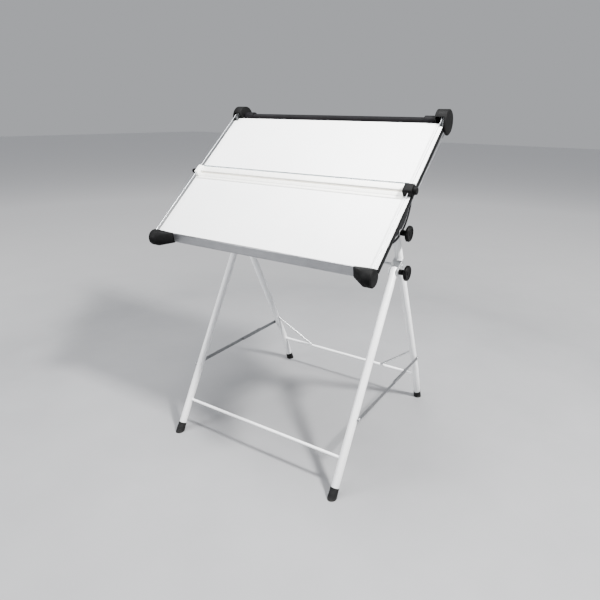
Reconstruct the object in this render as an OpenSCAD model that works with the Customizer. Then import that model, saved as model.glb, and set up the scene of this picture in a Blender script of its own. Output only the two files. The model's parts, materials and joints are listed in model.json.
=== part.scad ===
// Drafting table: an A1 drawing board with a wire-driven parallel straightedge,
// on a folding A-frame stand of painted steel tube.
// X runs to the user's right, Y away from the user and Z up.
// The origin is on the floor, midway between the four feet.

/* [Board] */
// Width of the drawing board
board_w = 950; // [900:10:1000]
// Depth of the drawing board, front edge to back edge
board_d = 650; // [620:10:680]
// Thickness of the laminated panel
board_t = 20; // [18:1:22]
// Tilt of the board from level, as it stands
rest_tilt = 40; // [38:1:42]
// Tilt pivot, measured up the board from its front edge
pivot_d = 328; // [320:1:335]
// Depth of the tilt pivot below the drawing surface
pivot_drop = 50; // [46:1:54]

/* [Stand] */
// Spread of the feet, front to back
foot_spread = 850; // [830:5:870]
// Distance between the centres of the left and right legs
leg_spacing = 762; // [755:1:768]
// Outside diameter of the leg tube
leg_dia = 30; // [28:1:31]
// Wall of the leg tube
leg_wall = 1.5; // [1.2:0.1:2]
// Lean of the front legs from upright
front_lean = 29.6; // [29:0.1:30.2]
// Lean of the rear legs from upright, above the bend
rear_lean = 26.8; // [26.4:0.1:27.2]
// Lean of the rear legs from upright, below the bend
rear_lean_low = 21.2; // [20.8:0.1:21.6]
// Height of the bend in the rear legs
bend_z = 176; // [172:1:180]
// Height of the bolt that the front legs fold on
fold_z = 752; // [745:1:760]
// Height of the bolt that the board tilts on
tilt_z = 1034; // [1028:1:1040]
// Height of the tilt clamp bolt
clamp_z = 904; // [900:1:908]

/* [Bars and stays] */
// Diameter of the two cross bars near the floor
bar_dia = 12; // [10:1:14]
// Height of the front cross bar
front_bar_z = 126; // [120:1:132]
// Height of the rear cross bar
rear_bar_z = 147; // [142:1:152]
// Diameter of the two slanting rods at the back
brace_dia = 8; // [6:1:9]
// Height of the folding stays
stay_z = 259; // [254:1:264]
// Height of a stay's steel strip
stay_h = 16; // [14:1:18]
// Thickness of a stay's steel strip
stay_t = 2.5; // [2:0.5:3]

/* [Knobs] */
// Diameter of the four clamp knobs
knob_dia = 60; // [54:1:64]
// Thickness of a clamp knob's head
knob_t = 13; // [11:1:15]
// Diameter of the clamp bolts
bolt_dia = 8; // [8:1:8]

/* [Parallel motion] */
// Diameter of the steel wire
wire_dia = 2.4; // [2:0.2:2.6]
// Height of the wire's upper run above the drawing surface
wire_u = 17; // [16:0.5:18]
// Distance of each wire from the board's middle
wire_x = 467; // [465:1:468]
// Radius of the wire round a top pulley
top_pulley_r = 33; // [32:0.5:34]
// Radius of the wire round a bottom pulley
low_pulley_r = 19.5; // [19:0.5:20]
// Diameter of the tube that joins the two top pulleys
link_dia = 32; // [28:1:34]
// Place of the straightedge's lower edge up the board
edge_d = 285; // [200:5:320]
// Depth of the straightedge over its blades
edge_w = 73; // [70:1:76]

/* [Hidden] */
$fn = 64;
eps = 0.01;
gap = 0.4;
leg_x = leg_spacing / 2;
leg_r = leg_dia / 2;
bore_r = leg_r - leg_wall;
half_w = board_w / 2;
bolt_r = bolt_dia / 2;
run_fit = 0.05;
// Flats round a bent tube, and the plug that slides inside them
leg_sides = 48;
plug_r = bore_r * cos(180 / leg_sides) - run_fit;
cope_gap = 0.02;
// Where each leg's axis would meet the floor
front_foot_y = -foot_spread / 2;
rear_foot_y = foot_spread / 2;
// Rear leg
bend_y = rear_foot_y - bend_z * tan(rear_lean_low);
bend_r = 150;
function front_y(z) = front_foot_y + z * tan(front_lean);
function rear_y(z) = z < bend_z
    ? rear_foot_y - z * tan(rear_lean_low)
    : bend_y - (z - bend_z) * tan(rear_lean);
fold_y = front_y(fold_z);
tilt_y = rear_y(tilt_z);
clamp_y = rear_y(clamp_z);
clamp_r = (tilt_z - clamp_z) / cos(rear_lean);
front_bar_y = front_y(front_bar_z);
rear_bar_y = rear_y(rear_bar_z);
// Front edge of the drawing surface
board_y = tilt_y - pivot_d * cos(rest_tilt) - pivot_drop * sin(rest_tilt);
board_z = tilt_z - pivot_d * sin(rest_tilt) + pivot_drop * cos(rest_tilt);
// Feet
foot_r = 17;
foot_taper = 0.4;
foot_below = 16;
foot_h = 40;
foot_floor = 14;
// Layers outboard of the legs
plate_t = 3;
plate_x = leg_x + leg_r + gap;
plate_out = plate_x + plate_t;
inner_x = leg_x - leg_r - gap - plate_t;
washer_t = 1.6;
knob_x = plate_out + gap + washer_t;
neck_l = 26;
knob_head_x = knob_x + neck_l;
// Fold bracket
rod_dia = 10;
rod_y = 37;
rod_z = 767;
// Braces at the back
brace_z = 306;
brace_x = 195;
// Stays
stay_front_y = front_y(stay_z);
stay_rear_y = rear_y(stay_z);
stay_mid_y = 45;
stay_tab_y = 172;
stay_hole_r = 3.05;
stay_pin_r = 3;
stay_in_x = leg_x + leg_r + 0.8;
stay_out_x = stay_in_x + stay_t + 0.5;
// Tilt quadrants
quad_r = 160;
slot_from = rear_lean + 2.5;
slot_sweep = 90;
slot_r = bolt_r + 0.4;
flange_w = 40;
screw_ds = [-120, 0, 120];
// Pulleys
wire_r = wire_dia / 2;
top_d = board_d + 23;
top_u = wire_u - top_pulley_r;
low_d = -31;
low_u = wire_u - low_pulley_r;
pulley_w = 11;
groove_gap = 0.3;
lower_angle = 2 * asin((top_pulley_r - low_pulley_r) / norm([top_d - low_d, top_u - low_u]));
// Corner housings
house_out = half_w + 8;
top_house_r = 45;
top_house_x = 440;
top_wall = 3;
cheek_x = 476;
low_house_out = half_w + 2;
low_house_r = 30.5;
low_house_x = 446;
low_house_in = 394;
notch_x = 456;
notch_d = board_d - 18;
// Tube between the top pulleys
tube_end = top_house_x - 3;
collar_x = 392;
collar_r = 22;
shaft_r = 8;
// Front trim
trim_x = low_house_in - 0.5;
// Straightedge
edge_l = -471;
edge_r = 448;
lift = 0.6;
head_d = edge_d + 13;
head_w = 39;
head_l = 32;
head_h = 27;

// ---------- helpers ----------

// Stands a flat (Y, Z) outline up so that its thickness runs along X
module side()
    rotate([90, 0, 90])
    children();

// Board frame: X across, Y up the board from its front edge, Z out of the surface
module on_board()
    translate([0, board_y, board_z])
    rotate([rest_tilt, 0, 0])
    children();

// The right-hand part as it is, or mirrored to the left
module hand(s)
    mirror([s < 0 ? 1 : 0, 0, 0])
    children();

// Disc or pin along X from x0 to x1, centred on (y, z)
module pin_x(x0, x1, y, z, r)
    translate([x0, y, z])
    rotate([0, 90, 0])
    cylinder(r = r, h = x1 - x0);

// Cone along X
module cone_x(x0, x1, y, z, r0, r1)
    translate([x0, y, z])
    rotate([0, 90, 0])
    cylinder(r1 = r0, r2 = r1, h = x1 - x0);

// Round bar between two points
module bar(p, q, r) {
    v = q - p;
    translate(p)
    rotate([0, acos(v[2] / norm(v)), atan2(v[1], v[0])])
    cylinder(r = r, h = norm(v));
}

// Stops round an arc of radius r about (y, z): each is [y, z, angle of the outward normal]
function arc_steps(y, z, r, a0, a1, n) =
    [for (i = [0:n]) let (a = a0 + (a1 - a0) * i / n) [y + r * cos(a), z + r * sin(a), a]];

// Round rod of radius r swept along stops in the plane at x
module sweep(stops, x, r, sides, closed = false) {
    last = len(stops) - 1;
    points = [
        for (p = stops)
            for (t = [0:sides - 1])
                let (w = 360 * t / sides, k = r * cos(w))
                [x + r * sin(w), p[0] + k * cos(p[2]), p[1] + k * sin(p[2])]];
    walls = [
        for (i = [0:closed ? last : last - 1])
            for (t = [0:sides - 1])
                let (j = (i + 1) % (last + 1), v = (t + 1) % sides)
                [i * sides + t, i * sides + v, j * sides + v, j * sides + t]];
    ends = closed ? [] : [
        [for (t = [0:sides - 1]) last * sides + sides - 1 - t],
        [for (t = [0:sides - 1]) t]];
    polyhedron(points = points, faces = concat(walls, ends));
}

// Straight hollow tube in the plane of the right legs
module leg_tube(y0, z0, y1, z1)
    translate([leg_x, y0, z0])
    rotate([-atan2(y1 - y0, z1 - z0), 0, 0])
    difference() {
        cylinder(r = leg_r, h = norm([y1 - y0, z1 - z0]));
        translate([0, 0, -eps])
        cylinder(r = bore_r, h = norm([y1 - y0, z1 - z0]) + 2 * eps);
    }

// Solid the size of a front or rear leg, used to cope the bars that meet it
module leg_space(y0, z0, y1, z1)
    translate([leg_x, y0, z0])
    rotate([-atan2(y1 - y0, z1 - z0), 0, 0])
    cylinder(r = leg_r + cope_gap, h = norm([y1 - y0, z1 - z0]));

// ---------- stand: rear frame ----------

// Ends of the rear tube: above the floor and past the tilt bolt
rear_start_z = foot_floor * cos(rear_lean_low);
rear_end_z = tilt_z + 12 * cos(rear_lean);
tangent = bend_r * tan((rear_lean - rear_lean_low) / 2);
low_end = [bend_y + tangent * sin(rear_lean_low), bend_z - tangent * cos(rear_lean_low)];
up_start = [bend_y - tangent * sin(rear_lean), bend_z + tangent * cos(rear_lean)];
bend_c = low_end - bend_r * [cos(rear_lean_low), sin(rear_lean_low)];

// Stops down the rear leg from its top; reach lengthens both ends
function rear_route(reach) = concat(
    [[rear_y(rear_end_z + reach), rear_end_z + reach, rear_lean]],
    arc_steps(bend_c[0], bend_c[1], bend_r, rear_lean, rear_lean_low, 4),
    [[rear_y(rear_start_z - reach), rear_start_z - reach, rear_lean_low]]);

module rear_leg()
    color("#e9eaec")
    difference() {
        sweep(rear_route(0), leg_x, leg_r, leg_sides);
        sweep(rear_route(1), leg_x, bore_r, leg_sides);
        pin_x(leg_x - 20, leg_x + 20, tilt_y, tilt_z, bolt_r);
        pin_x(leg_x - 20, leg_x + 20, clamp_y, clamp_z, bolt_r);
        pin_x(leg_x, leg_x + 20, stay_rear_y, stay_z, stay_pin_r);
    }

module rear_leg_left() hand(-1) rear_leg();
module rear_leg_right() hand(1) rear_leg();

module rear_low_space()
    leg_space(rear_foot_y, 0, bend_y, bend_z);

module rear_up_space()
    leg_space(bend_y, bend_z, tilt_y, tilt_z);

module rear_bar()
    color("#dcdee1")
    difference() {
        pin_x(-leg_x, leg_x, rear_bar_y, rear_bar_z, bar_dia / 2);
        for (s = [-1, 1]) hand(s) rear_low_space();
    }

module rear_brace()
    color("#d4d7da")
    difference() {
        bar([leg_x, rear_y(brace_z), brace_z], [brace_x, rear_bar_y, rear_bar_z], brace_dia / 2);
        rear_up_space();
        pin_x(0, leg_x, rear_bar_y, rear_bar_z, bar_dia / 2 + cope_gap);
    }

module rear_brace_left() hand(-1) rear_brace();
module rear_brace_right() hand(1) rear_brace();

// Rod that ties the two fold brackets together, with a washered nut outside each
module tie_rod()
    color("#cfd2d5") {
        pin_x(-inner_x, inner_x, rod_y, rod_z, rod_dia / 2);
        for (s = [-1, 1])
            hand(s)
            pin_x(plate_out, plate_out + 3, rod_y, rod_z, 6);
    }

// One cheek of the fold bracket
module bracket_cheek(x0)
    translate([x0, 0, 0])
    side()
    linear_extrude(plate_t)
    hull() {
        translate([fold_y, fold_z]) circle(r = 17, $fn = 32);
        translate([rear_y(786) - 4, 786]) circle(r = 7, $fn = 32);
        translate([rear_y(742) - 4, 742]) circle(r = 7, $fn = 32);
    }

// Two cheeks and a saddle welded to the front of the rear leg
module fold_bracket()
    color("#c9cccf")
    difference() {
        union() {
            bracket_cheek(plate_x);
            bracket_cheek(inner_x);
            translate([inner_x, 0, 0])
            side()
            linear_extrude(plate_out - inner_x)
            polygon([
                [rear_y(790) - 20, 788],
                [rear_y(790) - 6, 790],
                [rear_y(750) - 6, 744],
                [rear_y(750) - 20, 747]]);
        }
        rear_up_space();
        pin_x(inner_x - 1, plate_out + 1, fold_y, fold_z, bolt_r);
        pin_x(inner_x + plate_t, plate_x, fold_y, fold_z, 21);
    }

module fold_bracket_left() hand(-1) fold_bracket();
module fold_bracket_right() hand(1) fold_bracket();

// Rubber foot on a leg that leans by a, flat on the floor
module foot(y, a)
    color("#17181a")
    intersection() {
        translate([leg_x, y, 0])
        rotate([a, 0, 0])
        difference() {
            translate([0, 0, -foot_below])
            cylinder(r1 = foot_r + foot_taper, r2 = foot_r - foot_taper, h = foot_h + foot_below);
            translate([0, 0, foot_floor])
            cylinder(r = leg_r, h = foot_h);
        }
        translate([leg_x - 40, y - 60, 0])
        cube([80, 120, 80]);
    }

module rear_foot_left() hand(-1) foot(rear_foot_y, rear_lean_low);
module rear_foot_right() hand(1) foot(rear_foot_y, rear_lean_low);

// Plastic plug in the end of a tube, at (y, z), on a tube that leans by a
module plug(y, z, a)
    translate([leg_x, y, z])
    rotate([a, 0, 0]) {
        translate([0, 0, -10])
        cylinder(r = plug_r, h = 10 + eps);
        cylinder(r1 = leg_r, r2 = leg_r - 2, h = 3);
    }

module rear_leg_caps()
    color("#202124")
    for (s = [-1, 1])
        hand(s)
        difference() {
            plug(rear_y(rear_end_z), rear_end_z, rear_lean);
            pin_x(leg_x - 20, leg_x + 20, tilt_y, tilt_z, bolt_r + 1);
        }

// Bolts that the board tilts on: shank, inside nut and domed outside head
module tilt_bolts()
    color("#b9bdc1")
    for (s = [-1, 1])
        hand(s) {
            pin_x(inner_x - 4, plate_out + gap, tilt_y, tilt_z, bolt_r);
            pin_x(inner_x - 4, leg_x - leg_r, tilt_y, tilt_z, 7.5);
            cone_x(plate_out + gap, plate_out + gap + 4.5, tilt_y, tilt_z, 8, 4.5);
        }

// Bolts of the tilt clamps, with a nut inside each leg
module clamp_bolts()
    color("#b9bdc1")
    for (s = [-1, 1])
        hand(s) {
            pin_x(inner_x - 2, knob_x, clamp_y, clamp_z, bolt_r);
            pin_x(inner_x - 4, leg_x - leg_r, clamp_y, clamp_z, 7.5);
        }

// Bolts that the front legs fold on
module fold_bolts()
    color("#b9bdc1")
    for (s = [-1, 1])
        hand(s) {
            pin_x(inner_x, knob_x, fold_y, fold_z, bolt_r);
            pin_x(inner_x - 5, inner_x, fold_y, fold_z, 7.5);
        }

// Steel washers under the four knobs
module clamp_washers()
    color("#d7dadd")
    for (s = [-1, 1])
        for (p = [[clamp_y, clamp_z], [fold_y, fold_z]])
            hand(s)
            difference() {
                pin_x(plate_out + gap, knob_x, p[0], p[1], 12.5);
                pin_x(plate_out, knob_x + 1, p[0], p[1], bolt_r + run_fit);
            }

// Clamp knob: a neck and a broad round head with a dished face
module knob(y, z)
    color("#1b1c1e")
    difference() {
        union() {
            cone_x(knob_x, knob_head_x, y, z, 10.5, 12);
            cone_x(knob_head_x, knob_head_x + 3, y, z, knob_dia / 2 - 3, knob_dia / 2);
            pin_x(knob_head_x + 3, knob_head_x + knob_t - 3, y, z, knob_dia / 2);
            cone_x(knob_head_x + knob_t - 3, knob_head_x + knob_t, y, z, knob_dia / 2, knob_dia / 2 - 3);
        }
        cone_x(knob_head_x + knob_t - 3, knob_head_x + knob_t + eps, y, z, 14, 20);
        pin_x(knob_x - 1, knob_x + 20, y, z, bolt_r - 1);
    }

module tilt_knob_left() hand(-1) knob(clamp_y, clamp_z);
module tilt_knob_right() hand(1) knob(clamp_y, clamp_z);
module fold_knob_left() hand(-1) knob(fold_y, fold_z);
module fold_knob_right() hand(1) knob(fold_y, fold_z);

// ---------- stand: front frame ----------

front_start_z = foot_floor * cos(front_lean);
front_end_z = fold_z + 13 * cos(front_lean);

module front_leg()
    color("#eceded")
    difference() {
        leg_tube(front_y(front_start_z), front_start_z, front_y(front_end_z), front_end_z);
        pin_x(leg_x - 20, leg_x + 20, fold_y, fold_z, bolt_r + run_fit);
        pin_x(leg_x, leg_x + 20, stay_front_y, stay_z, stay_pin_r);
    }

module front_leg_left() hand(-1) front_leg();
module front_leg_right() hand(1) front_leg();

module front_bar()
    color("#e3e5e7")
    difference() {
        pin_x(-leg_x, leg_x, front_bar_y, front_bar_z, bar_dia / 2);
        for (s = [-1, 1])
            hand(s)
            leg_space(front_foot_y, 0, fold_y, fold_z);
    }

module front_foot_left() hand(-1) foot(front_foot_y, -front_lean);
module front_foot_right() hand(1) foot(front_foot_y, -front_lean);

module front_leg_caps()
    color("#202124")
    for (s = [-1, 1])
        hand(s)
        difference() {
            plug(front_y(front_end_z), front_end_z, -front_lean);
            pin_x(leg_x - 20, leg_x + 20, fold_y, fold_z, bolt_r + 1);
        }

// ---------- folding stays ----------

// Pivot pin of a stay: shank through the leg's wall, spacer and outside head
module stay_pin(y, x_strip) {
    head_x = x_strip + stay_t + 0.3;
    pin_x(leg_x + leg_r - 3, head_x, y, stay_z, stay_pin_r);
    pin_x(leg_x + leg_r + 0.1, x_strip - 0.3, y, stay_z, 5.5);
    pin_x(head_x, head_x + 3, y, stay_z, 6);
}

module front_stay_pins()
    color("#c2c6ca")
    for (s = [-1, 1]) hand(s) stay_pin(stay_front_y, stay_out_x);

module rear_stay_pins()
    color("#c2c6ca")
    for (s = [-1, 1]) hand(s) stay_pin(stay_rear_y, stay_in_x);

// Steel strip with round ends between y0 and y1, x from x0
module strip(x0, y0, y1)
    translate([x0, 0, 0])
    side()
    linear_extrude(stay_t)
    union() {
        translate([y0, stay_z - stay_h / 2]) square([y1 - y0, stay_h]);
        translate([y0, stay_z]) circle(r = stay_h / 2);
        translate([y1, stay_z]) circle(r = stay_h / 2);
    }

// Front half of a stay: the outer strip, with its bent stop tab and the head of the rivet
module front_stay()
    color("#b4b8bc")
    difference() {
        union() {
            strip(stay_out_x, stay_front_y, stay_tab_y);
            translate([stay_in_x - 0.6, stay_tab_y - 16, stay_z + stay_h / 2 + 0.4])
            cube([stay_out_x + stay_t - stay_in_x + 0.6, 16, 2]);
            translate([stay_out_x, stay_tab_y - 16, stay_z])
            cube([stay_t, 16, stay_h / 2 + 2.4]);
            pin_x(stay_out_x + stay_t, stay_out_x + stay_t + 2, stay_mid_y, stay_z, 5.5);
        }
        pin_x(stay_out_x - 1, stay_out_x + stay_t + 1, stay_front_y, stay_z, stay_hole_r);
    }

module front_stay_left() hand(-1) front_stay();
module front_stay_right() hand(1) front_stay();

// Rear half of a stay: the inner strip
module rear_stay()
    color("#b4b8bc")
    difference() {
        strip(stay_in_x, stay_mid_y, stay_rear_y);
        pin_x(stay_in_x - 1, stay_in_x + stay_t + 1, stay_rear_y, stay_z, stay_hole_r);
    }

module rear_stay_left() hand(-1) rear_stay();
module rear_stay_right() hand(1) rear_stay();

// ---------- board ----------

module board_panel()
    color("#f6f7f7")
    on_board()
    difference() {
        translate([-half_w + 2, 0, -board_t])
        cube([board_w - 4, board_d - 2, board_t]);
        for (s = [-1, 1])
            hand(s)
            translate([notch_x, notch_d, -board_t - 1])
            cube([40, 40, board_t + 2]);
    }

// Satin aluminium trim along the front edge, with a small lip along its foot
module front_trim()
    color("#aeb1b5")
    on_board()
    translate([-trim_x, 0, 0])
    side()
    linear_extrude(2 * trim_x)
    polygon([
        [0, 0], [-4, -1], [-17, -24], [-19, -26], [-20, -30], [-18, -32],
        [-14, -31], [-12, -27], [-2, -23], [18, -23], [18, -board_t], [0, -board_t]]);

module back_edging()
    color("#1d1e20")
    on_board()
    translate([-notch_x, board_d - 2, -board_t])
    cube([2 * notch_x, 2, board_t]);

module side_edging()
    color("#1d1e20")
    on_board()
    translate([half_w - 2, 0, -board_t])
    cube([2, notch_d, board_t]);

module side_edging_left() hand(-1) side_edging();
module side_edging_right() hand(1) side_edging();

// Outline of a tilt quadrant about its pivot, with the arc slot of the clamp
module quadrant_outline()
    difference() {
        union() {
            intersection() {
                circle(r = quad_r);
                translate([-quad_r, -quad_r]) square([2 * quad_r, quad_r]);
            }
            translate([-quad_r, -eps])
            square([2 * quad_r, pivot_drop - board_t + eps]);
        }
        circle(r = bolt_r + run_fit);
        difference() {
            circle(r = clamp_r + slot_r);
            circle(r = clamp_r - slot_r);
            // everything outside the part of the ring that the bolt travels
            polygon([
                [0, 0],
                3 * quad_r * [sin(slot_from), -cos(slot_from)],
                3 * quad_r * [1, 0],
                3 * quad_r * [0, 1],
                3 * quad_r * [-1, 0],
                3 * quad_r * [sin(slot_from - slot_sweep), -cos(slot_from - slot_sweep)]]);
        }
    }

// Black steel quadrant under the board, with a flange screwed to the panel
module tilt_quadrant()
    color("#1a1b1d")
    on_board() {
        translate([plate_x, pivot_d, -pivot_drop])
        side()
        linear_extrude(plate_t)
        quadrant_outline();
        difference() {
            translate([plate_out - flange_w, pivot_d - quad_r, -board_t - plate_t])
            cube([flange_w - plate_t, 2 * quad_r, plate_t]);
            for (d = screw_ds)
                translate([plate_out - 26, pivot_d + d, -board_t - 10])
                cylinder(r = 2.5, h = 20);
        }
    }

module tilt_quadrant_left() hand(-1) tilt_quadrant();
module tilt_quadrant_right() hand(1) tilt_quadrant();

module quadrant_screws()
    color("#b9bdc1")
    on_board()
    for (s = [-1, 1])
        for (d = screw_ds)
            hand(s)
            translate([plate_out - 26, pivot_d + d, -board_t - plate_t]) {
                translate([0, 0, -2.4]) cylinder(r1 = 3, r2 = 4.5, h = 2.4);
                cylinder(r = 2.5, h = plate_t);
            }

// ---------- corner housings ----------

// Hood over a top pulley, behind the board's corner and open towards the user
module top_housing()
    color("#191a1c")
    on_board()
    difference() {
        union() {
            pin_x(top_house_x, house_out - 3, top_d, top_u, top_house_r);
            cone_x(house_out - 3, house_out, top_d, top_u, top_house_r, top_house_r - 4);
            // foot that reaches under the board
            translate([396, board_d - 30, -board_t - 5])
            cube([50, 30, 5]);
        }
        // chamber of the pulley
        pin_x(top_house_x + top_wall, cheek_x, top_d, top_u, top_house_r - top_wall);
        // mouth towards the user
        translate([top_house_x + top_wall, top_d, top_u])
        side()
        linear_extrude(cheek_x - top_house_x - top_wall)
        polygon([
            [0, 0],
            60 * [cos(115), sin(115)],
            [-80, 40],
            [-80, -80],
            60 * [cos(-80), sin(-80)]]);
        // bearing bores in both cheeks
        pin_x(top_house_x - 1, cheek_x + 4, top_d, top_u, shaft_r + run_fit);
        // seat for the board's edge and corner
        translate([380, board_d - 60, -board_t])
        cube([notch_x - 380, 60 + gap, 100]);
        translate([380, board_d - 60, -board_t])
        cube([half_w + gap - 380, notch_d + gap - board_d + 60, 100]);
    }

module top_housing_left() hand(-1) top_housing();
module top_housing_right() hand(1) top_housing();

// Housing of a bottom pulley: a round case that tapers inboard into the trim
module low_housing()
    color("#1b1c1e")
    on_board()
    difference() {
        union() {
            pin_x(low_house_x, low_house_out - 3, low_d, low_u, low_house_r);
            cone_x(low_house_out - 3, low_house_out, low_d, low_u, low_house_r, low_house_r - 4);
            intersection() {
                hull() {
                    pin_x(low_house_x, low_house_x + 1, low_d, low_u, low_house_r, $fn = 32);
                    translate([low_house_in, 0, 0])
                    side()
                    linear_extrude(1)
                    polygon([[0, 1], [-6, 1], [-22, -26], [-22, -33], [-8, -33], [0, -26]]);
                }
                translate([low_house_in - 1, -80, -60]) cube([85, 80, 120]);
            }
            // foot that reaches under the board
            translate([low_house_in + 6, -6, -board_t - 4])
            cube([50, 40, 4]);
        }
        // chamber of the pulley and the slot where the wire leaves
        pin_x(wire_x - 7, wire_x + 7, low_d, low_u, low_pulley_r + 5);
        translate([wire_x - 2.5, low_d, low_u - 24]) cube([5, 60, 46]);
        // bore of the axle
        pin_x(low_house_x + 1, low_house_out - 1, low_d, low_u, 3);
        // clearance over the panel
        translate([300, 0, -board_t]) cube([half_w - 300, 60, 60]);
    }

module low_housing_left() hand(-1) low_housing();
module low_housing_right() hand(1) low_housing();

// Screws that hold the housings' feet to the underside of the board
module housing_screws()
    color("#b9bdc1")
    on_board()
    for (s = [-1, 1])
        hand(s) {
            for (x = [406, 430])
                translate([x, board_d - 18, -board_t - 7.4])
                cylinder(r1 = 3, r2 = 4.5, h = 2.4);
            for (x = [412, 444])
                translate([x, 22, -board_t - 6.4])
                cylinder(r1 = 3, r2 = 4.5, h = 2.4);
        }

module low_axles()
    color("#c2c6ca")
    on_board()
    for (s = [-1, 1])
        hand(s)
        pin_x(low_house_x + 1, low_house_out - 1, low_d, low_u, 3);

// Grooved pulley on the axis (d, u) for a wire at radius r
module pulley(d, u, r, hole)
    color("#8f9498")
    difference() {
        pin_x(wire_x - pulley_w / 2, wire_x + pulley_w / 2, d, u, r + 3);
        translate([wire_x, d, u])
        rotate([0, 90, 0])
        rotate_extrude()
        polygon([
            [r - wire_r - groove_gap, -wire_r - 0.3],
            [r + 4, -wire_r - 2.5],
            [r + 4, wire_r + 2.5],
            [r - wire_r - groove_gap, wire_r + 0.3]]);
        pin_x(wire_x - pulley_w, wire_x + pulley_w, d, u, hole);
    }

module low_pulley_left() on_board() hand(-1) pulley(low_d, low_u, low_pulley_r, 3 + run_fit);
module low_pulley_right() on_board() hand(1) pulley(low_d, low_u, low_pulley_r, 3 + run_fit);
module top_pulley_left() on_board() hand(-1) pulley(top_d, top_u, top_pulley_r, shaft_r);
module top_pulley_right() on_board() hand(1) pulley(top_d, top_u, top_pulley_r, shaft_r);

// Tube that makes both top pulleys turn together, with a collar near each end
module link_tube()
    color("#232327")
    on_board() {
        difference() {
            pin_x(-tube_end, tube_end, top_d, top_u, link_dia / 2);
            pin_x(10 - collar_x, collar_x - 10, top_d, top_u, link_dia / 2 - 2);
        }
        for (s = [-1, 1])
            hand(s) {
                difference() {
                    pin_x(collar_x, tube_end - 2, top_d, top_u, collar_r);
                    pin_x(collar_x - 1, tube_end, top_d, top_u, link_dia / 2);
                }
                pin_x(tube_end, cheek_x + 3.5, top_d, top_u, shaft_r);
            }
    }

// The wire's route, clockwise from the top of the top pulley
wire_route = concat(
    arc_steps(top_d, top_u, top_pulley_r, 90, -90 - lower_angle, 22),
    arc_steps(low_d, low_u, low_pulley_r, -90 - lower_angle, -270, 14));

// Endless wire round one top and one bottom pulley
module wire()
    color("#d9dcdf")
    on_board()
    sweep(wire_route, wire_x, wire_r, 8, true);

module wire_left() hand(-1) wire();
module wire_right() hand(1) wire();

// ---------- straightedge ----------

// Outline of a straightedge member, given in (distance up the board, height)
module rail(x0, x1)
    on_board()
    translate([x0, edge_d, lift])
    side()
    linear_extrude(x1 - x0)
    children();

module straightedge_bar()
    color("#f1f1ec")
    rail(edge_l + 13, edge_r)
    polygon([
        [11, 2.2], [17, 2.2], [17, 0], [51, 0], [51, 2.6], [61, 2.6], [61, 6], [58, 8.8],
        [36, 8.8], [34, 8], [33, 3.6], [26, 3.6], [25, 5.6], [21, 5.6], [17, 3.8], [11, 3.2]]);

module upper_blade()
    color([0.78, 0.88, 0.92, 0.6])
    rail(edge_l, edge_r)
    polygon([[51, 0], [edge_w, 0], [edge_w, 0.8], [edge_w - 4, 2.6], [51, 2.6]]);

module lower_blade()
    color("#eef0ee")
    rail(edge_l, edge_r)
    polygon([[0, 0], [17, 0], [17, 2.2], [3, 2.2], [0, 0.8]]);

// Left end: white cap that holds the wire, and the black square-setting clamp outside it
module left_end_block()
    color("#f1f1ec")
    on_board()
    difference() {
        union() {
            translate([edge_l, edge_d + 11, lift + 2.7])
            cube([13, 50, 8]);
            translate([edge_l - 1, edge_d + 15, lift + 8])
            cube([10, 38, 14]);
        }
        translate([-wire_x, edge_d, wire_u])
        rotate([-90, 0, 0])
        cylinder(r = wire_r + 0.8, h = 80);
        pin_x(edge_l - 2, edge_l + 8, edge_d + 27, lift + 11.5, 3);
    }

module square_knob()
    color("#17181a")
    on_board() {
        cone_x(edge_l - 19, edge_l - 4, edge_d + 27, lift + 11.5, 9, 11);
        pin_x(edge_l - 22, edge_l - 19, edge_d + 27, lift + 11.5, 8);
        pin_x(edge_l - 4, edge_l - 1.3, edge_d + 27, lift + 11.5, 6);
        pin_x(edge_l - 1.3, edge_l + 1.5, edge_d + 27, lift + 11.5, 2.95);
    }

// Brake head that grips the right-hand wire
module brake_head()
    color("#1b1c1e")
    on_board()
    difference() {
        translate([edge_r, head_d, 0])
        side_block();
        translate([wire_x, head_d - 1, wire_u])
        rotate([-90, 0, 0])
        cylinder(r = wire_r + 0.8, h = head_w + 2);
        pin_x(edge_r + head_l - 10, edge_r + head_l + 1, head_d + 18, lift + 11.5, 3);
    }

// Block of the brake head, with sloping top edges
module side_block()
    translate([0, 0, lift])
    side()
    linear_extrude(head_l)
    polygon([
        [0, 0], [head_w, 0], [head_w, head_h - 5], [head_w - 4, head_h - 1], [head_w - 8, head_h],
        [8, head_h], [3, head_h - 2], [0, head_h - 7]]);

module brake_knob()
    color("#17181a")
    on_board() {
        x0 = edge_r + head_l;
        cone_x(x0 + 3, x0 + 13, head_d + 18, lift + 11.5, 13.5, 12.5);
        pin_x(x0 + 0.4, x0 + 3, head_d + 18, lift + 11.5, 7);
        pin_x(x0 - 8, x0 + 0.4, head_d + 18, lift + 11.5, 2.95);
    }

rear_leg_left();
rear_leg_right();
rear_bar();
rear_brace_left();
rear_brace_right();
tie_rod();
fold_bracket_left();
fold_bracket_right();
rear_foot_left();
rear_foot_right();
rear_leg_caps();
tilt_bolts();
clamp_bolts();
fold_bolts();
clamp_washers();
tilt_knob_left();
tilt_knob_right();
fold_knob_left();
fold_knob_right();
front_leg_left();
front_leg_right();
front_bar();
front_foot_left();
front_foot_right();
front_leg_caps();
front_stay_pins();
rear_stay_pins();
front_stay_left();
front_stay_right();
rear_stay_left();
rear_stay_right();
board_panel();
front_trim();
back_edging();
side_edging_left();
side_edging_right();
tilt_quadrant_left();
tilt_quadrant_right();
quadrant_screws();
top_housing_left();
top_housing_right();
low_housing_left();
low_housing_right();
housing_screws();
low_axles();
low_pulley_left();
low_pulley_right();
link_tube();
top_pulley_left();
top_pulley_right();
wire_left();
wire_right();
straightedge_bar();
upper_blade();
lower_blade();
left_end_block();
brake_head();
brake_knob();
square_knob();
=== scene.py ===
"""Looks of the drafting table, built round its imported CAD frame."""

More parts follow.
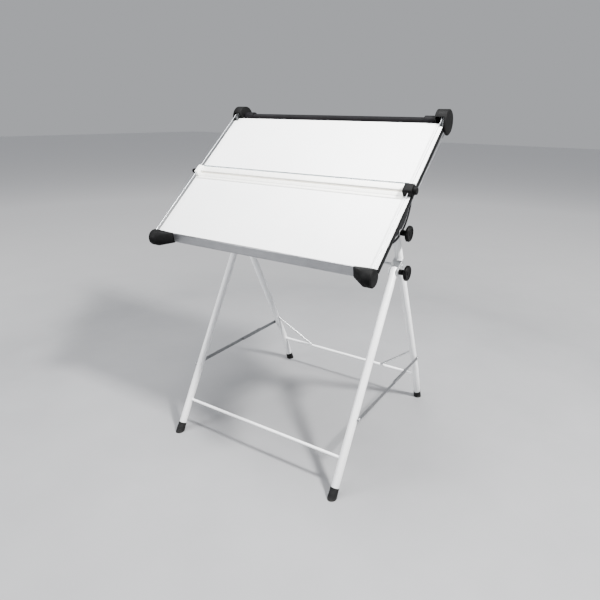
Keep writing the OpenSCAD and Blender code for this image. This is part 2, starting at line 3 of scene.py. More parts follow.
import json
import math

import bmesh
import bpy
from mathutils import Matrix, Vector

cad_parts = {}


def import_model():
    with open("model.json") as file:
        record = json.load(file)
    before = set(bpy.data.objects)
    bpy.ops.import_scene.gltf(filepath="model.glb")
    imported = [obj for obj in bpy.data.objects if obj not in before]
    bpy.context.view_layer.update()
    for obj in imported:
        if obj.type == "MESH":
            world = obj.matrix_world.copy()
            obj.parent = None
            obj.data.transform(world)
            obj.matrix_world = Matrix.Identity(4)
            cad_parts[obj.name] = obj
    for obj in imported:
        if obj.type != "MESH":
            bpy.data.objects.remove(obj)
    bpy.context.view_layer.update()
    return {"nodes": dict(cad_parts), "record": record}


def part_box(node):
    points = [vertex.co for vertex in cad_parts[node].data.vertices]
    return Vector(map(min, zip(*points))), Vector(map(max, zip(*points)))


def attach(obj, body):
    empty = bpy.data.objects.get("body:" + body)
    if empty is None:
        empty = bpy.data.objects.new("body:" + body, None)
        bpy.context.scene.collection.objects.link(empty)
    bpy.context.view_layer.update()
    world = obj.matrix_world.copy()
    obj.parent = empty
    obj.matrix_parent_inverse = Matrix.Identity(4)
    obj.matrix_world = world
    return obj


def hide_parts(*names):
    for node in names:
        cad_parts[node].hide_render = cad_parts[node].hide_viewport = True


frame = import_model()

MM = 0.001
RECORD = frame["record"]
JOINTS = {j["name"]: j for j in RECORD["behaviour"]["joints"]}
BODY_OF = {n: b for b, ns in RECORD["behaviour"]["bodies"].items() for n in ns}
SLOT_OF = {s["node"]: s["material_slot"] for s in RECORD["subparts"]}
MOUNTS = {m["name"]: m for m in RECORD["mounts"]}
SIDES = {"left": -1, "right": 1}


def place_of(joint):
    """Where a hinge sits, in metres."""
    return Vector(JOINTS[joint]["pos_m"])


# ---------- the board's own frame: X across, Y up the board, Z out of its surface ----------

UP_BOARD = Vector(JOINTS["straightedge_slide"]["axis"]).normalized()
ACROSS = Vector((1, 0, 0))
OUT = ACROSS.cross(UP_BOARD)
TOP_PULLEY = (673 * MM, -16 * MM)
LOW_PULLEY = (-31 * MM, -2.5 * MM)
BOARD_ORIGIN = place_of("low_pulley_right_spin") - LOW_PULLEY[0] * UP_BOARD - LOW_PULLEY[1] * OUT
BOARD_ORIGIN.x = 0
ON_BOARD = Matrix.Translation(BOARD_ORIGIN) @ Matrix((ACROSS, UP_BOARD, OUT)).transposed().to_4x4()


# ---------- materials ----------


class Shader:
    """A Principled material whose grain is measured in millimetres of the real object."""

    def __init__(self, name, **sockets):
        self.material = bpy.data.materials.new(name)
        self.material.use_nodes = True
        self.tree = self.material.node_tree
        self.bsdf = self.tree.nodes["Principled BSDF"]
        self.coords = self.tree.nodes.new("ShaderNodeTexCoord").outputs["Object"]
        for key, value in sockets.items():
            self.bsdf.inputs[key.replace("_", " ")].default_value = value

    def node(self, kind, **settings):
        made = self.tree.nodes.new(kind)
        for key, value in settings.items():
            setattr(made, key, value)
        return made

    def link(self, source, target):
        self.tree.links.new(source, target)

    def noise(self, size_mm, detail=3.0, stretch=(1, 1, 1), roughness=0.55):
        """Noise whose blobs are about size_mm across, drawn out along an axis by a stretch under 1."""
        mapping = self.node("ShaderNodeMapping")
        mapping.inputs["Scale"].default_value = [s * 1000 / size_mm for s in stretch]
        self.link(self.coords, mapping.inputs["Vector"])
        made = self.node("ShaderNodeTexNoise")
        made.inputs["Scale"].default_value = 1.0
        made.inputs["Detail"].default_value = detail
        made.inputs["Roughness"].default_value = roughness
        self.link(mapping.outputs["Vector"], made.inputs["Vector"])
        return made.outputs["Fac"]

    def remap(self, source, low, high, start=0.3, stop=0.7):
        made = self.node("ShaderNodeMapRange")
        for socket, value in zip(("From Min", "From Max", "To Min", "To Max"), (start, stop, low, high)):
            made.inputs[socket].default_value = value
        self.link(source, made.inputs["Value"])
        return made.outputs["Result"]

    def mix(self, fac, first, second):
        """Colour between two colours or sockets."""
        made = self.node("ShaderNodeMix", data_type="RGBA")
        self.link(fac, made.inputs["Factor"])
        for socket, value in ((made.inputs[6], first), (made.inputs[7], second)):
            if isinstance(value, bpy.types.NodeSocket):
                self.link(value, socket)
            else:
                socket.default_value = (*value, 1)
        return made.outputs[2]

    def colour(self, socket):
        self.link(socket, self.bsdf.inputs["Base Color"])

    def roughness(self, socket):
        self.link(socket, self.bsdf.inputs["Roughness"])

    def bump(self, height, depth_mm, strength=1.0, below=None):
        made = self.node("ShaderNodeBump")
        made.inputs["Strength"].default_value = strength
        made.inputs["Distance"].default_value = depth_mm * MM
        self.link(height, made.inputs["Height"])
        if below is not None:
            self.link(below, made.inputs["Normal"])
        self.link(made.outputs["Normal"], self.bsdf.inputs["Normal"])
        return made.outputs["Normal"]

    def dust(self, colour, base, height_m, top=0.5):
        """Dust and scuffs that thin out up to height_m above the floor."""
        split = self.node("ShaderNodeSeparateXYZ")
        self.link(self.coords, split.inputs["Vector"])
        fade = self.remap(split.outputs["Z"], top, 0.0, 0.0, height_m)
        mottled = self.node("ShaderNodeMath", operation="MULTIPLY")
        self.link(fade, mottled.inputs[0])
        self.link(self.remap(self.noise(9, 4), 0.0, 1.0), mottled.inputs[1])
        return self.mix(mottled.outputs["Value"], base, colour)


def powder_coat(name, light, dark, rough=(0.30, 0.42), coat=0.12, shine=0.5):
    """Powder-coated steel: faint orange peel, slight drift of tone, dust near the floor."""
    s = Shader(name, Coat_Weight=coat, Coat_Roughness=0.2, Specular_IOR_Level=shine)
    tone = s.mix(s.remap(s.noise(60, 4), 0, 1), light, dark)
    s.colour(s.dust([0.78 * c for c in dark], tone, 0.16))
    s.roughness(s.remap(s.noise(14, 4), *rough))
    peel = s.bump(s.noise(2.2, 2), 0.02)
    s.bump(s.noise(0.35, 2), 0.004, below=peel)
    return s.material


def brushed(name, light, dark, stretch, rough=(0.26, 0.42), grain=0.5):
    """Metal with fine lines along the axis that stretch draws out."""
    s = Shader(name, Metallic=1.0)
    lines = s.noise(grain, 3, stretch)
    tone = s.mix(s.remap(lines, 0, 1), light, dark)
    s.colour(s.mix(s.remap(s.noise(35, 4), 0, 0.35), tone, [0.7 * c for c in dark]))
    s.roughness(s.remap(s.noise(grain * 1.6, 3, stretch), *rough))
    s.bump(lines, 0.006)
    return s.material


def zinc_plate(name, light, dark):
    """Zinc-plated strip: clouded tone, faint rolling marks and dull fingerprints."""
    s = Shader(name, Metallic=0.9)
    cloud = s.mix(s.remap(s.noise(16, 5), 0, 1), light, dark)
    s.colour(s.mix(s.remap(s.noise(3, 3), 0, 0.4), cloud, [0.75 * c for c in dark]))
    s.roughness(s.remap(s.noise(11, 5), 0.3, 0.52))
    s.bump(s.noise(0.9, 3), 0.008)
    return s.material


def moulded(name, light, dark, rough=(0.44, 0.6), grain=0.45, depth=0.02, shine=0.04):
    """Moulded black plastic with a spark-eroded grain and rubbed patches."""
    s = Shader(name, Specular_IOR_Level=shine)
    s.colour(s.mix(s.remap(s.noise(22, 5), 0, 1), light, dark))
    s.roughness(s.remap(s.noise(13, 5), *rough))
    s.bump(s.noise(grain, 3), depth)
    return s.material


def rubber(name):
    """Black rubber foot, scuffed grey where it meets the floor."""
    s = Shader(name, Specular_IOR_Level=0.1)
    tone = s.mix(s.remap(s.noise(12, 5), 0, 1), (0.006, 0.006, 0.0064), (0.011, 0.011, 0.0115))
    s.colour(s.dust((0.05, 0.048, 0.046), tone, 0.012, 0.5))
    s.roughness(s.remap(s.noise(7, 4), 0.62, 0.85))
    s.bump(s.noise(0.7, 3), 0.03)
    return s.material


def laminate(name):
    """White melamine face: silky, with the faintest orange peel and soft smudges."""
    s = Shader(name, Specular_IOR_Level=0.45)
    tone = s.mix(s.remap(s.noise(180, 4), 0, 1), (0.86, 0.87, 0.875), (0.82, 0.83, 0.84))
    s.colour(s.mix(s.remap(s.noise(1.1, 2), 0, 0.1), tone, (0.70, 0.71, 0.72)))
    s.roughness(s.remap(s.noise(70, 5), 0.30, 0.40))
    s.bump(s.noise(0.8, 2), 0.004)
    return s.material


def gloss_white(name, light, dark):
    """White extruded rule: fine die lines along its length."""
    s = Shader(name, Specular_IOR_Level=0.5)
    lines = s.noise(0.7, 2, (0.01, 1, 1))
    s.colour(s.mix(s.remap(lines, 0, 1), light, dark))
    s.roughness(s.remap(s.noise(25, 4), 0.22, 0.34))
    s.bump(lines, 0.004)
    return s.material


def clear_acrylic(name, tint, rough):
    s = Shader(name, Transmission_Weight=1.0, IOR=1.49)
    s.colour(s.mix(s.remap(s.noise(50, 3), 0, 1), tint, [0.96 * c for c in tint]))
    s.roughness(s.remap(s.noise(8, 4), *rough))
    s.bump(s.noise(1.5, 2), 0.002)
    return s.material


def pale_floor(name):
    """Matt studio floor, paler towards its edges where the lamps reach less."""
    s = Shader(name, Specular_IOR_Level=0.2)
    near = s.mix(s.remap(s.noise(400, 5), 0, 1), (0.225, 0.228, 0.236), (0.205, 0.208, 0.216))
    reach = s.node("ShaderNodeVectorMath", operation="LENGTH")
    s.link(s.coords, reach.inputs[0])
    s.colour(s.mix(s.remap(reach.outputs["Value"], 0, 1, 1.8, 6.5), near, (0.80, 0.80, 0.81)))
    s.roughness(s.remap(s.noise(120, 4), 0.5, 0.62))
    s.bump(s.noise(3, 3), 0.05)
    return s.material


ALONG_X = (0.012, 1, 1)
MATERIALS = {
    "white_paint": powder_coat("white_paint", (0.80, 0.81, 0.82), (0.74, 0.75, 0.765)),
    "zinc": zinc_plate("zinc", (0.74, 0.755, 0.765), (0.60, 0.615, 0.63)),
    "dull_zinc": zinc_plate("dull_zinc", (0.25, 0.255, 0.265), (0.17, 0.175, 0.185)),
    "bolt_steel": zinc_plate("bolt_steel", (0.72, 0.73, 0.74), (0.55, 0.56, 0.58)),
    "black_rubber": rubber("black_rubber"),
    "black_plastic": moulded("black_plastic", (0.006, 0.0061, 0.0063), (0.0038, 0.0038, 0.004)),
    "knob_plastic": moulded("knob_plastic", (0.005, 0.005, 0.0052), (0.003, 0.003, 0.0032), (0.36, 0.5)),
    "laminate": laminate("laminate"),
    "edging": moulded("edging", (0.007, 0.007, 0.0073), (0.0045, 0.0045, 0.005), (0.35, 0.5), 0.6),
    "satin_aluminium": brushed("satin_aluminium", (0.355, 0.36, 0.375), (0.29, 0.295, 0.31), ALONG_X),
    "black_steel": powder_coat(
        "black_steel", (0.008, 0.008, 0.009), (0.005, 0.005, 0.006), (0.46, 0.6), 0, 0.05),
    "link_black": powder_coat(
        "link_black", (0.006, 0.0057, 0.0066), (0.0038, 0.0037, 0.0043), (0.46, 0.6), 0, 0.04),
    "wire_steel": brushed("wire_steel", (0.44, 0.45, 0.465), (0.30, 0.31, 0.33), (1, 1, 1), (0.26, 0.42)),
    "pulley_nylon": moulded("pulley_nylon", (0.16, 0.165, 0.17), (0.11, 0.115, 0.12), (0.4, 0.55)),
    "edge_white": gloss_white("edge_white", (0.84, 0.84, 0.81), (0.80, 0.80, 0.775)),
    "clear_blade": clear_acrylic("clear_blade", (0.93, 0.975, 0.985), (0.03, 0.08)),
}
INK = moulded("scale_ink", (0.14, 0.19, 0.23), (0.10, 0.14, 0.17), (0.5, 0.6))
EDGE_TINT = clear_acrylic("ruling_edge_tint", (0.42, 0.56, 0.62), (0.1, 0.2))
# The grey-beige of the groove strip is painted shade: it darkens the finger groove where its face lies in
# shadow.
GROOVE_SHADE = moulded("groove_shade_strip", (0.50, 0.48, 0.43), (0.42, 0.40, 0.36), (0.7, 0.85), 0.5, 0.05)


# ---------- pieces ----------

SAME_POINT = 0.02 * MM
SAME_PLANE = math.radians(0.5)
SHARP_EDGE = math.radians(30)
NUT_ACROSS = 13 * MM
NUT_CHAMFER = 0.6 * MM


def piece(name, bm, material, body, nodes=(), sharp=32):
    """Turns a bmesh into a piece that rides on a body and may stand for CAD nodes."""
    mesh = bpy.data.meshes.new(name)
    bm.normal_update()
    bm.to_mesh(mesh)
    bm.free()
    mesh.materials.append(material)
    for face in mesh.polygons:
        face.use_smooth = True
    mesh.set_sharp_from_angle(angle=math.radians(sharp))
    made = bpy.data.objects.new(name, mesh)
    bpy.context.scene.collection.objects.link(made)
    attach(made, body)
    if nodes:
        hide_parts(*nodes)


def break_edges(bm, edges, width):
    """Rounds edges over with a bevel of this width."""
    bmesh.ops.bevel(
        bm, geom=edges, offset=width, offset_type="OFFSET", segments=2, profile=0.5,
        affect="EDGES", clamp_overlap=True)


def refined(node, bevel_mm, material):
    """A welded copy of a CAD node with its sharp edges broken, standing for that node."""
    bm = bmesh.new()
    bm.from_mesh(frame["nodes"][node].data)
    bmesh.ops.remove_doubles(bm, verts=bm.verts, dist=SAME_POINT)
    bmesh.ops.dissolve_limit(bm, angle_limit=SAME_PLANE, verts=bm.verts, edges=bm.edges)
    sharp = [e for e in bm.edges if len(e.link_faces) == 2 and e.calc_face_angle(0) > SHARP_EDGE]
    break_edges(bm, sharp, bevel_mm * MM)
    piece(node + "_body", bm, material, BODY_OF[node], (node,))


def bridge(bm, first, second):
    """Quads between two rings of as many points."""
    for i in range(len(first)):
        j = (i + 1) % len(first)
        bm.faces.new((first[i], first[j], second[j], second[i]))


def turned(profile, steps=64, lobes=0, lobe_depth=0.0, lobe_from=1.0):
    """Solid of revolution about X from (x, r) pairs; lobes flute what is wider than lobe_from."""
    bm = bmesh.new()
    rings = []
    for x, r in profile:
        if r <= 0:
            rings.append([bm.verts.new((x, 0, 0))])
            continue
        ring = []
        for i in range(steps):
            a = 2 * math.pi * i / steps
            dip = lobe_depth * (0.5 - 0.5 * math.cos(lobes * a)) if r > lobe_from else 0.0
            ring.append(bm.verts.new((x, (r - dip) * math.cos(a), (r - dip) * math.sin(a))))
        rings.append(ring)
    for a, b in zip(rings, rings[1:]):
        for i in range(steps):
            j = (i + 1) % steps
            corners = [a[i % len(a)], a[j % len(a)], b[j % len(b)], b[i % len(b)]]
            unique = list(dict.fromkeys(corners))
            if len(unique) > 2:
                bm.faces.new(unique)
    bmesh.ops.recalc_face_normals(bm, faces=bm.faces)
    return bm


def moved(bm, matrix):
    """The same bmesh, transformed."""
    bmesh.ops.transform(bm, matrix=matrix, verts=bm.verts)
    return bm


def joined(parts):
    """One bmesh from several."""
    whole = bmesh.new()
    for part in parts:
        mesh = bpy.data.meshes.new("part")
        part.to_mesh(mesh)
        part.free()
        whole.from_mesh(mesh)
        bpy.data.meshes.remove(mesh)
    return whole


def towards(side):
    """Turns the right-hand side's outward direction into this side's."""
    return Matrix.Identity(4) if side > 0 else Matrix.Rotation(math.pi, 4, "Z")


def hexagon(x0, x1, across):
    """Hexagon nut along X, chamfered on its outer end."""
    bm = bmesh.new()
    rings = []
    steps = 48
    corner = 0.56 * across
    chamfered = 0.86 * across / math.sqrt(3)
    for x, most in ((x0, corner), (x1 - NUT_CHAMFER, corner), (x1, chamfered)):
        ring = []
        for i in range(steps):
            a = 2 * math.pi * i / steps
            flat = across / 2 / math.cos((a + math.pi / 6) % (math.pi / 3) - math.pi / 6)
            reach = min(flat, most)
            ring.append(bm.verts.new((x, reach * math.cos(a), reach * math.sin(a))))
        rings.append(ring)
    for a, b in zip(rings, rings[1:]):
        bridge(bm, a, b)
    bm.faces.new(rings[0][::-1])
    bm.faces.new(rings[-1])
    bmesh.ops.recalc_face_normals(bm, faces=bm.faces)
    return bm


def nut(x0, x1):
    """Nut between x0 and x1 whose chamfered end faces inward."""
    return moved(hexagon(-x1, -x0, NUT_ACROSS), Matrix.Rotation(math.pi, 4, "Z"))


# ---------- clamp knobs ----------

KNOB_PROFILE = [
    (0, 0), (0, 9.2), (0.7, 10.2), (5, 10.5), (16, 11.0), (21, 12.0), (23.2, 14.5), (24.4, 19),
    (25.0, 24.5), (26.2, 28.0), (28.0, 29.7), (30.6, 30.2), (34.4, 30.0), (36.8, 28.8),
    (38.4, 26.6), (39.0, 24.0), (38.8, 21.8), (37.6, 19.6), (36.2, 17.6), (35.8, 13.0),
    (35.8, 8.4), (36.6, 7.6), (37.6, 6.6), (38.0, 4.5), (38.2, 0)]


def clamp_knob(kind, side_name):
    node = f"{kind}_knob_{side_name}"
    side = SIDES[side_name]
    low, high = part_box(node)
    centre = place_of(node + "_turn")
    centre.x = low.x if side > 0 else high.x
    bm = turned([(x * MM, r * MM) for x, r in KNOB_PROFILE], 144, 12, 1.3 * MM, 27 * MM)
    moved(bm, Matrix.Translation(centre) @ towards(side))
    piece(node + "_grip", bm, MATERIALS["knob_plastic"], node, (node,), sharp=50)


# ---------- fasteners ----------

BOLT_R = 4 * MM
BOLT_CHAMFER = 0.3 * MM
SHANK_X = 360 * MM
UPPER_NUT_X = 358.6 * MM
TILT_NUT_T = 6.8 * MM
CLAMP_NUT_T = 7.2 * MM
FOLD_NUT_X = 357.6 * MM
FOLD_NUT_T = 5 * MM
DOME_R = 8 * MM
DOME_H = 4.5 * MM
DOME_SEAT = 2 * MM
WASHER_T = 1.6 * MM
WASHER_R = 12.5 * MM
WASHER_BORE = 4.1 * MM


def bolt_set(node, parts):
    """Replaces a CAD node of bolts by detailed ones; parts is a list of bmeshes in place."""
    piece(node + "_detail", joined(parts), MATERIALS[SLOT_OF[node]], BODY_OF[node], (node,))


def mirrored(build):
    """The right-hand bmeshes from build(), and again turned to the left-hand side."""
    parts = []
    for side in SIDES.values():
        for bm in build():
            if side < 0:
                bmesh.ops.transform(bm, matrix=Matrix.Scale(-1, 4, ACROSS), verts=bm.verts)
                bmesh.ops.reverse_faces(bm, faces=bm.faces)
            parts.append(bm)
    return parts


def at_joint(joint):
    p = place_of(joint)
    return Matrix.Translation((0, p.y, p.z))


def chamfered_rim(x0, x1, r, edge):
    """Profile of a rim of radius r from x0 to x1 with broken corners."""
    return [(x0, r - edge), (x0 + edge, r), (x1 - edge, r), (x1, r - edge)]


def shank(x0, x1):
    """Plain length of bolt along X."""
    return turned([(x0, 0), *chamfered_rim(x0, x1, BOLT_R, BOLT_CHAMFER), (x1, 0)], 32)


def domed_head(x1):
    """Domed bolt head along X whose face is at x1; a quarter of its height is a plain rim."""
    x0 = x1 - DOME_H
    rim = [(x0, 0), (x0, DOME_R), (x0 + 0.25 * DOME_H, DOME_R)]
    cap = [(x0 + DOME_H * (0.25 + 0.75 * math.sin(a)), DOME_R * math.cos(a)) for a in
           [math.radians(d) for d in range(12, 90, 13)]]
    return turned(rim + cap + [(x1, 0)], 40)


def tilt_bolt_parts():
    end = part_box("tilt_bolts")[1].x
    where = at_joint("board_tilt")
    return [
        moved(nut(UPPER_NUT_X, UPPER_NUT_X + TILT_NUT_T), where),
        moved(shank(UPPER_NUT_X, end - DOME_SEAT), where),
        moved(domed_head(end), where)]


def clamp_bolt_parts():
    where = at_joint("tilt_knob_right_turn")
    return [
        moved(nut(UPPER_NUT_X, UPPER_NUT_X + CLAMP_NUT_T), where),
        moved(shank(SHANK_X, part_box("clamp_bolts")[1].x), where)]


def fold_bolt_parts():
    where = at_joint("fold")
    return [
        moved(nut(FOLD_NUT_X, FOLD_NUT_X + FOLD_NUT_T), where),
        moved(shank(SHANK_X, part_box("fold_bolts")[1].x), where)]


def washers():
    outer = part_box("clamp_washers")[1].x
    inner = outer - WASHER_T
    rim = chamfered_rim(inner, outer, WASHER_R, BOLT_CHAMFER)
    profile = [(inner, WASHER_BORE), *rim, (outer, WASHER_BORE), (inner, WASHER_BORE)]
    return [moved(turned(profile, 48), at_joint(j)) for j in ("tilt_knob_right_turn", "fold")]


# ---------- feet ----------

FOOT_PROFILE = [
    (-16, 0), (-16, 17.6), (6, 17.6), (7.5, 17.4), (9, 16.8), (10.5, 16.8), (12, 17.4), (13.5, 17.4),
    (15, 16.8), (16.5, 16.8), (18, 17.3), (19.5, 17.3), (21, 16.8), (34, 16.6), (37.5, 16.5),
    (39.2, 16.2), (40, 15.6), (39.6, 15.15), (30, 15.05), (30, 0)]
REAR_BEND_Z = 176 * MM


def foot_axis(kind):
    """Where a foot's axis meets the floor, and the way it points, on the right-hand side."""
    floor = Vector(MOUNTS[kind + "_feet"]["pos_m"])
    if kind == "front":
        above = place_of("fold")
    else:
        tilt, stay = place_of("board_tilt"), place_of("rear_stay_right_hinge")
        slope = (stay.y - tilt.y) / (stay.z - tilt.z)
        above = Vector((0, stay.y + (REAR_BEND_Z - stay.z) * slope, REAR_BEND_Z))
    return floor, Vector((0, above.y - floor.y, above.z)).normalized()


def rubber_foot(kind, side_name):
    node = f"{kind}_foot_{side_name}"
    floor, way = foot_axis(kind)
    bm = turned([(x * MM, r * MM) for x, r in FOOT_PROFILE], 64)
    moved(bm, Matrix.Translation(floor) @ way.to_track_quat("X", "Y").to_matrix().to_4x4())
    cut = bmesh.ops.bisect_plane(
        bm, geom=bm.verts[:] + bm.edges[:] + bm.faces[:], plane_co=(0, 0, 0), plane_no=(0, 0, 1),
        clear_inner=True)
    rim = [e for e in cut["geom_cut"] if isinstance(e, bmesh.types.BMEdge)]
    bmesh.ops.holes_fill(bm, edges=rim)
    if side_name == "left":
        moved(bm, Matrix.Scale(-1, 4, ACROSS))
        bmesh.ops.reverse_faces(bm, faces=bm.faces)
    piece(node + "_ferrule", bm, MATERIALS["black_rubber"], BODY_OF[node], (node,), sharp=45)


# ---------- steel wires ----------

WIRE_U = 17 * MM
WIRE_R = 1.2 * MM
STRANDS = 6
LAY = 16 * MM


def wire_stops(step):
    """Closed route of a wire in the board's (up, out) plane: (point, outward normal, length so far)."""
    (td, tu), (ld, lu) = TOP_PULLEY, LOW_PULLEY
    rt, rl = WIRE_U - tu, WIRE_U - lu
    tip = 2 * math.asin((rt - rl) / math.hypot(td - ld, tu - lu))
    run = math.hypot(td - ld, tu - lu) * math.cos(tip / 2)
    stops = []
    length = 0.0
    for (cd, cu, r, a0, a1) in (
            (td, tu, rt, math.pi / 2, -math.pi / 2 - tip),
            (ld, lu, rl, -math.pi / 2 - tip, -1.5 * math.pi)):
        n = max(8, round(abs(a1 - a0) * r / step))
        for i in range(n):
            a = a0 + (a1 - a0) * i / n
            normal = (math.cos(a), math.sin(a))
            stops.append(((cd + r * normal[0], cu + r * normal[1]), normal, length))
            length += abs(a1 - a0) * r / n
        end = (math.cos(a1), math.sin(a1))
        start = (cd + r * end[0], cu + r * end[1])
        way = (math.sin(a1), -math.cos(a1))
        n = round(run / step)
        for i in range(n):
            t = run * i / n
            stops.append(((start[0] + way[0] * t, start[1] + way[1] * t), end, length))
            length += run / n
    return stops, length


def wire_rope(side_name):
    node = "wire_" + side_name
    low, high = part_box(node)
    x = (low.x + high.x) / 2
    stops, total = wire_stops(2.2 * MM)
    turns = round(total / LAY * STRANDS) / STRANDS
    around = 24
    bm = bmesh.new()
    rings = []
    for (d, u), normal, length in stops:
        ring = []
        for i in range(around):
            a = 2 * math.pi * i / around
            twist = 2 * math.pi * turns * length / total
            r = WIRE_R * (0.93 + 0.07 * math.cos(STRANDS * (a + twist)))
            k = r * math.cos(a)
            spot = ON_BOARD @ Vector((x + r * math.sin(a), d + k * normal[0], u + k * normal[1]))
            ring.append(bm.verts.new(spot))
        rings.append(ring)
    for a, b in zip(rings, rings[1:] + rings[:1]):
        bridge(bm, a, b)
    bmesh.ops.recalc_face_normals(bm, faces=bm.faces)
    piece(node + "_rope", bm, MATERIALS["wire_steel"], BODY_OF[node], (node,), sharp=80)


# ---------- straightedge ----------


def block(x0, x1, d0, d1, u0, u1, bevel):
    """Box with broken edges on the board, from corner to corner in board measures."""
    bm = bmesh.new()
    bmesh.ops.create_cube(bm, size=1)
    scale = Matrix.Diagonal((x1 - x0, d1 - d0, u1 - u0, 1))
    shift = Matrix.Translation(((x0 + x1) / 2, (d0 + d1) / 2, (u0 + u1) / 2))
    moved(bm, shift @ scale)
    if bevel:
        break_edges(bm, bm.edges[:], bevel)
    return moved(bm, ON_BOARD)


EDGE_TOP_D = 358 * MM
BLADE_TOP_U = 3.2 * MM
MARK_STEP = 5 * MM
MARK_W = 0.3 * MM
LONG_MARK = 6 * MM
SHORT_MARK = 3.5 * MM
MARK_INSET = 4.6 * MM
SCALE_MARGIN = 15 * MM
RIB_STEP = 3 * MM
RIB_W = 1.4 * MM
RIB_MARGIN = 5 * MM


def scale_marks():
    """Inlaid centimetre and five-millimetre marks along the upper blade."""
    low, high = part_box("upper_blade")
    parts = []
    top = EDGE_TOP_D - MARK_INSET
    count = int((high.x - low.x - 2 * SCALE_MARGIN) / MARK_STEP)
    for i in range(count + 1):
        x = low.x + SCALE_MARGIN + i * MARK_STEP
        reach = LONG_MARK if i % 2 == 0 else SHORT_MARK
        parts.append(block(x - MARK_W / 2, x + MARK_W / 2, top - reach, top,
                           BLADE_TOP_U - 0.1 * MM, BLADE_TOP_U + 0.05 * MM, 0))
    piece("scale_marks", joined(parts), INK, "straightedge")


def ruling_edge():
    """Tinted line along the ruling edge of the upper blade."""
    low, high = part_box("upper_blade")
    bm = block(low.x + 1 * MM, high.x - 1 * MM, EDGE_TOP_D - 3.8 * MM, EDGE_TOP_D - 0.4 * MM,
               1.0 * MM, 1.5 * MM, 0.1 * MM)
    piece("ruling_edge_line", bm, EDGE_TINT, "straightedge")


def groove_shade_strip():
    """Ribbed strip in the finger groove, coloured grey-beige as painted shade for the groove's shadowed
    face.
    """
    low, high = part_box("straightedge_bar")
    # Strip and ribs carry the grey-beige painted shade of the groove.
    parts = [block(low.x + 2 * MM, high.x - 1 * MM, 311.4 * MM, 317.6 * MM, 3.9 * MM, 4.7 * MM, 0)]
    count = int((high.x - low.x - 8 * MM) / RIB_STEP)
    for i in range(count):
        x = low.x + RIB_MARGIN + i * RIB_STEP
        parts.append(block(x - RIB_W / 2, x + RIB_W / 2, 311.8 * MM, 317.2 * MM,
                           4.6 * MM, 5.3 * MM, 0))
    piece("groove_shade_strip", joined(parts), GROOVE_SHADE, "straightedge")


# ---------- welds ----------

WELD_X = 366 * MM
WELD_SIZE = 1.4 * MM


def bead(centre, axis, r, size):
    """Small weld bead round a bar where it meets a tube."""
    bm = bmesh.new()
    steps, sides = 40, 8
    rings = []
    for i in range(steps):
        a = 2 * math.pi * i / steps
        lump = size * (1 + 0.18 * math.sin(a * 7) + 0.1 * math.sin(a * 13 + 1))
        ring = []
        for k in range(sides):
            b = 2 * math.pi * k / sides
            reach = r + lump * math.cos(b)
            ring.append(bm.verts.new((lump * math.sin(b), reach * math.cos(a), reach * math.sin(a))))
        rings.append(ring)
    for a, b in zip(rings, rings[1:] + rings[:1]):
        bridge(bm, a, b)
    bmesh.ops.recalc_face_normals(bm, faces=bm.faces)
    return moved(bm, Matrix.Translation(centre) @ axis.to_track_quat("X", "Y").to_matrix().to_4x4())


def bar_welds(node):
    low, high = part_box(node)
    centre = (low + high) / 2
    r = (high.z - low.z) / 2
    ends = [Vector((s * WELD_X, centre.y, centre.z)) for s in (-1, 1)]
    parts = [bead(end, ACROSS, r, WELD_SIZE) for end in ends]
    piece(node + "_welds", joined(parts), MATERIALS["white_paint"], BODY_OF[node])


# ---------- link shaft ----------

COLLAR_R = 22 * MM
COLLAR_SCREW_X = 402 * MM


def collar_screws():
    """Socket set screws that pin each collar to the link tube."""
    profile = [(-2.4, 0), (-2.4, 2.5), (0.1, 2.5), (0.35, 2.2), (0.35, 1.4), (-1.2, 1.4), (-1.2, 0)]
    parts = []
    for side in SIDES.values():
        for degrees in (20, 110):
            a = math.radians(degrees)
            way = Vector((0, math.cos(a), math.sin(a)))
            spot = Vector((side * COLLAR_SCREW_X, TOP_PULLEY[0], TOP_PULLEY[1])) + COLLAR_R * way
            turn = way.to_track_quat("X", "Y").to_matrix().to_4x4()
            screw = turned([(x * MM, r * MM) for x, r in profile], 24)
            parts.append(moved(screw, ON_BOARD @ Matrix.Translation(spot) @ turn))
    piece("collar_screws", joined(parts), MATERIALS["black_steel"], BODY_OF["link_tube"],
          sharp=40)


# ---------- build ----------

for side_name in SIDES:
    clamp_knob("tilt", side_name)
    clamp_knob("fold", side_name)
    rubber_foot("front", side_name)
    rubber_foot("rear", side_name)
    wire_rope(side_name)

bolt_set("tilt_bolts", mirrored(tilt_bolt_parts))
bolt_set("clamp_bolts", mirrored(clamp_bolt_parts))
bolt_set("fold_bolts", mirrored(fold_bolt_parts))
bolt_set("clamp_washers", mirrored(washers))
bar_welds("front_bar")
bar_welds("rear_bar")
scale_marks()
ruling_edge()
groove_shade_strip()
collar_screws()

PLAIN_BEVEL = 0.4
BEVELS = {
    "board_panel": 0.8, "front_trim": 0.6, "brake_head": 1.6, "left_end_block": 1.2,
    "top_housing_left": 1.2, "top_housing_right": 1.2, "low_housing_left": 1.2,
    "low_housing_right": 1.2, "upper_blade": 0.25, "lower_blade": 0.25, "straightedge_bar": 0.4,
    "side_edging_left": 0.3, "side_edging_right": 0.3, "back_edging": 0.3, "brake_knob": 1.0,
    "square_knob": 1.0, "link_tube": 0.8}
REPLACED = {
    f"{kind}_knob_{s}" for kind in ("tilt", "fold") for s in SIDES} | {
    f"{kind}_foot_{s}" for kind in ("front", "rear") for s in SIDES} | {
    "wire_left", "wire_right", "tilt_bolts", "clamp_bolts", "fold_bolts", "clamp_washers"}
STAYS = {f"{kind}_stay_{s}" for kind in ("front", "rear") for s in SIDES}
for node in sorted(frame["nodes"]):
    if node not in REPLACED:
        finish = "dull_zinc" if node in STAYS else SLOT_OF[node]
        refined(node, BEVELS.get(node, PLAIN_BEVEL), MATERIALS[finish])


# ---------- studio ----------


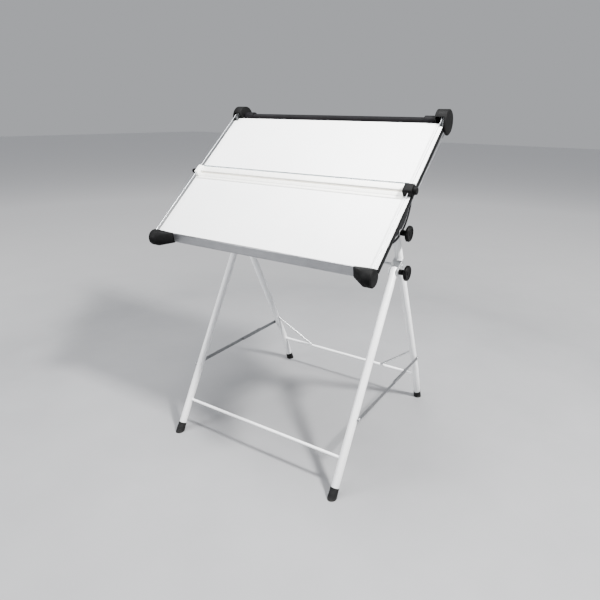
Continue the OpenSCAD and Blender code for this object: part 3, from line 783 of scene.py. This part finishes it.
def floor():
    bm = bmesh.new()
    bmesh.ops.create_grid(bm, x_segments=8, y_segments=8, size=25)
    mesh = bpy.data.meshes.new("floor")
    bm.to_mesh(mesh)
    bm.free()
    mesh.materials.append(pale_floor("floor_finish"))
    made = bpy.data.objects.new("floor", mesh)
    bpy.context.scene.collection.objects.link(made)


def softbox(name, place, aim, size, power, colour=(1, 1, 1)):
    data = bpy.data.lights.new(name, "AREA")
    data.shape = "RECTANGLE"
    data.size, data.size_y = size
    data.energy = power
    data.color = colour
    made = bpy.data.objects.new(name, data)
    made.location = place
    made.rotation_mode = "QUATERNION"
    made.rotation_quaternion = (Vector(aim) - Vector(place)).to_track_quat("-Z", "Y")
    bpy.context.scene.collection.objects.link(made)


def camera(azimuth, elevation, roll, place, focal, shift):
    """Camera at place whose back points along (azimuth, elevation), in degrees."""
    a, e = math.radians(azimuth), math.radians(elevation)
    back = Vector((math.sin(a) * math.cos(e), -math.cos(a) * math.cos(e), math.sin(e)))
    data = bpy.data.cameras.new("camera")
    data.sensor_width = 36
    data.lens = focal
    data.shift_x, data.shift_y = shift
    data.clip_start, data.clip_end = 0.05, 60
    made = bpy.data.objects.new("camera", data)
    made.rotation_mode = "QUATERNION"
    tilted = (-back).to_track_quat("-Z", "Y")
    made.rotation_quaternion = tilted @ Matrix.Rotation(math.radians(roll), 3, "Z").to_quaternion()
    made.location = place
    bpy.context.scene.collection.objects.link(made)
    bpy.context.scene.camera = made


def world(colour, strength):
    made = bpy.data.worlds.new("studio")
    made.use_nodes = True
    sky = made.node_tree.nodes["Background"]
    sky.inputs["Color"].default_value = (*colour, 1)
    sky.inputs["Strength"].default_value = strength
    bpy.context.scene.world = made


floor()
world((0.86, 0.88, 0.92), 0.5)
softbox("key", (2.5, -0.5, 3.4), (0, 0, 0.9), (0.42, 0.42), 610, (1.0, 0.985, 0.96))
softbox("front_fill", (-2.4, -3.3, 2.1), (0, 0, 0.7), (1.6, 1.6), 170)
softbox("top", (-0.3, -0.4, 3.9), (0, 0, 0.8), (2.2, 2.2), 325)
camera(31.32, 20.56, 1.03, (1.0816, -1.7181, 1.3049), 30.37, (-0.0252, 0.005))
